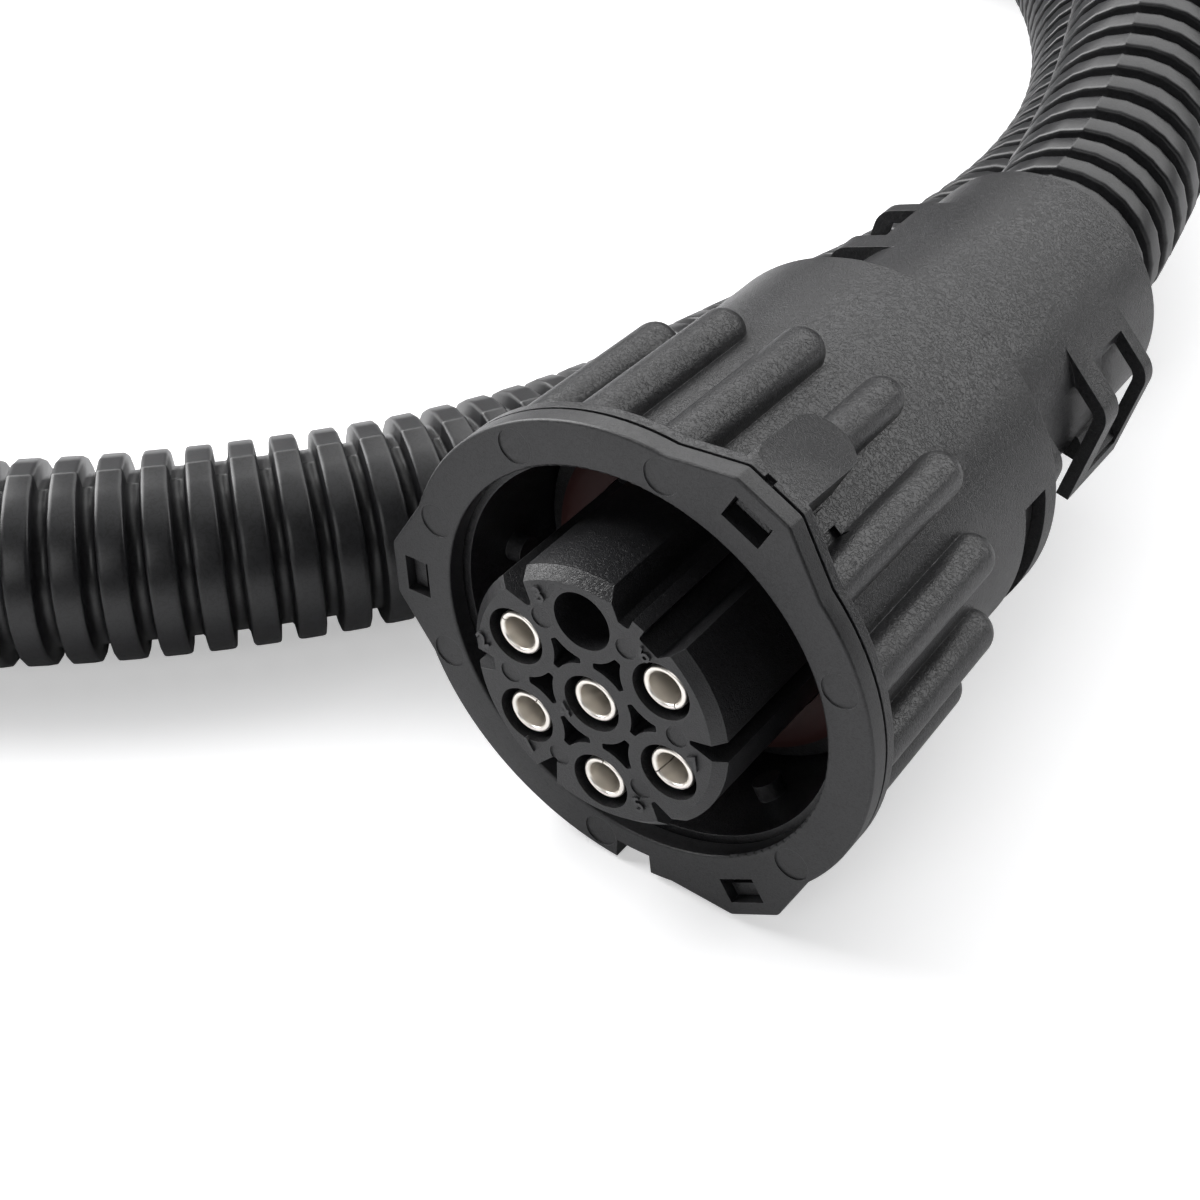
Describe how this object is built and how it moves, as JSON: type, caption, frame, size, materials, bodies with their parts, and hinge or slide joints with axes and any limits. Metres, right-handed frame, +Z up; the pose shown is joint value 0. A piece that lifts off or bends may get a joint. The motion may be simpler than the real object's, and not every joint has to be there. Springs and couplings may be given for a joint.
{
  "type": "trailer light connector plug",
  "caption": "Round bayonet plug for a trailer's light circuit, with ribbed coupling ring, bright sockets, latched backshell and corrugated conduit.",
  "frame": {"origin": "centre of the front plate's face, on the plug's axis", "axes": "-Y along the plug's axis, out of the mating face; +Z up; +X to the right seen from the front"},
  "size_m": [0.3496, 0.2918, 0.0449],
  "materials": {
    "black_nylon": "fine satin moulding texture",
    "black_conduit": "satin, ribbed",
    "black_rubber": "matt",
    "dark_red_silicone": "matt",
    "nickel_plated_contact": "bright nickel",
    "tinned_copper": "bright tin",
    "black_wire": "satin",
    "yellow_wire": "satin",
    "white_wire": "satin",
    "brown_wire": "satin",
    "green_wire": "satin",
    "red_wire": "satin"
  },
  "bodies": {
    "plug": {"connector_housing": "black_nylon", "contact_carrier": "black_nylon", "secondary_lock": "black_nylon", "interface_seal": "dark_red_silicone", "cavity_plug": "dark_red_silicone", "backshell_upper": "black_nylon", "backshell_lower": "black_nylon", "conduit": "black_conduit", "conduit_end_sleeve": "black_rubber", "wire_ferrules": "tinned_copper", "socket_contact_1": "nickel_plated_contact", "socket_contact_2": "nickel_plated_contact", "socket_contact_4": "nickel_plated_contact", "socket_contact_5": "nickel_plated_contact", "socket_contact_6": "nickel_plated_contact", "socket_contact_7": "nickel_plated_contact", "wire_seal_1": "dark_red_silicone", "wire_seal_2": "dark_red_silicone", "wire_seal_4": "dark_red_silicone", "wire_seal_5": "dark_red_silicone", "wire_seal_6": "dark_red_silicone", "wire_seal_7": "dark_red_silicone", "lead_wire_1": "black_wire", "lead_wire_2": "black_wire", "lead_wire_4": "black_wire", "lead_wire_5": "black_wire", "lead_wire_6": "black_wire", "lead_wire_7": "black_wire", "wire_tail_1": "black_wire", "wire_tail_2": "yellow_wire", "wire_tail_3": "white_wire", "wire_tail_4": "brown_wire", "wire_tail_5": "green_wire", "wire_tail_6": "red_wire"},
    "ring": {"front_plate": "black_nylon", "coupling_ring": "black_nylon"}
  },
  "joints": [
    {"name": "ring_turn", "type": "hinge", "parent": "plug", "child": "ring", "pos_m": [0, 0, 0], "axis": [0, -1, 0], "range_deg": [0, 45]}
  ]
}
